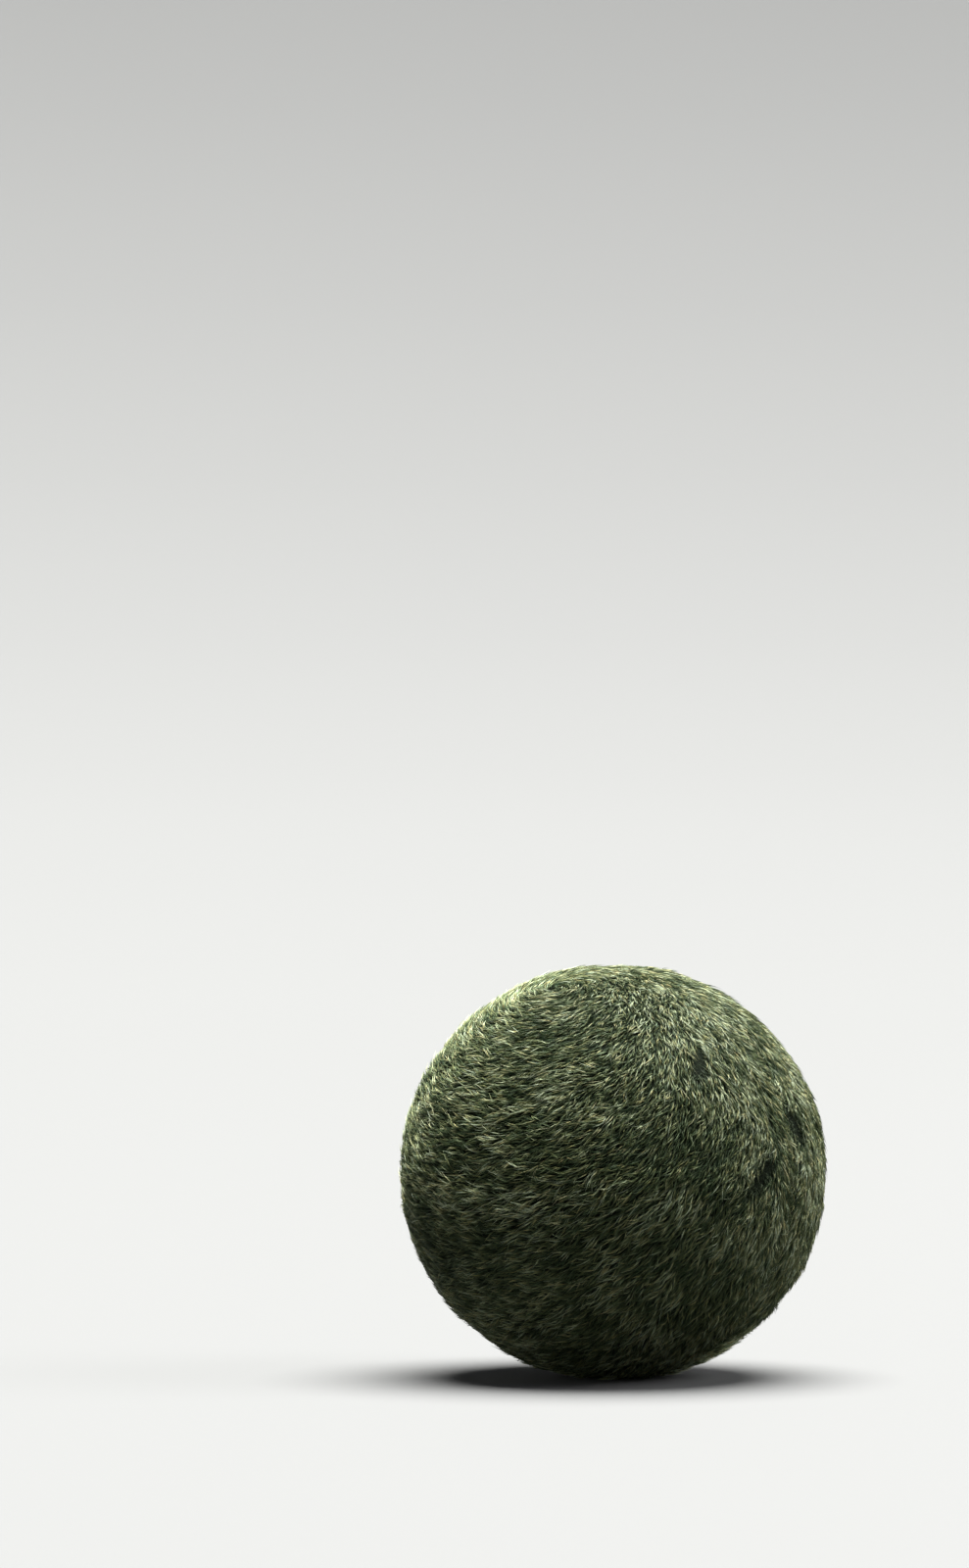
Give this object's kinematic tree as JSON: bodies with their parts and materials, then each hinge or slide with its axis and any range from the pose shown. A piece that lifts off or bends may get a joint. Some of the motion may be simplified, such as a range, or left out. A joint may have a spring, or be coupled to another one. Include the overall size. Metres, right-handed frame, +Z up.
{
  "type": "marimo moss ball aquarium ornament",
  "caption": "Ball of short combed dark green pile fabric over a hollow ribbed plastic cage, for an aquarium.",
  "frame": {"origin": "middle of the flat spot that the ball rests on", "axes": "+Z up, -Y towards the viewer in front, +X to the viewer's right"},
  "size_m": [0.047, 0.047, 0.0454],
  "materials": {
    "pile": "short dense synthetic pile, combed flat, dark grey-green with pale tips",
    "cage": "dark grey moulded plastic, finely grained"
  },
  "bodies": {
    "root": {"pile_cover_front": "pile", "pile_cover_side": "pile", "cage_upper": "cage", "cage_lower": "cage"}
  },
  "joints": []
}
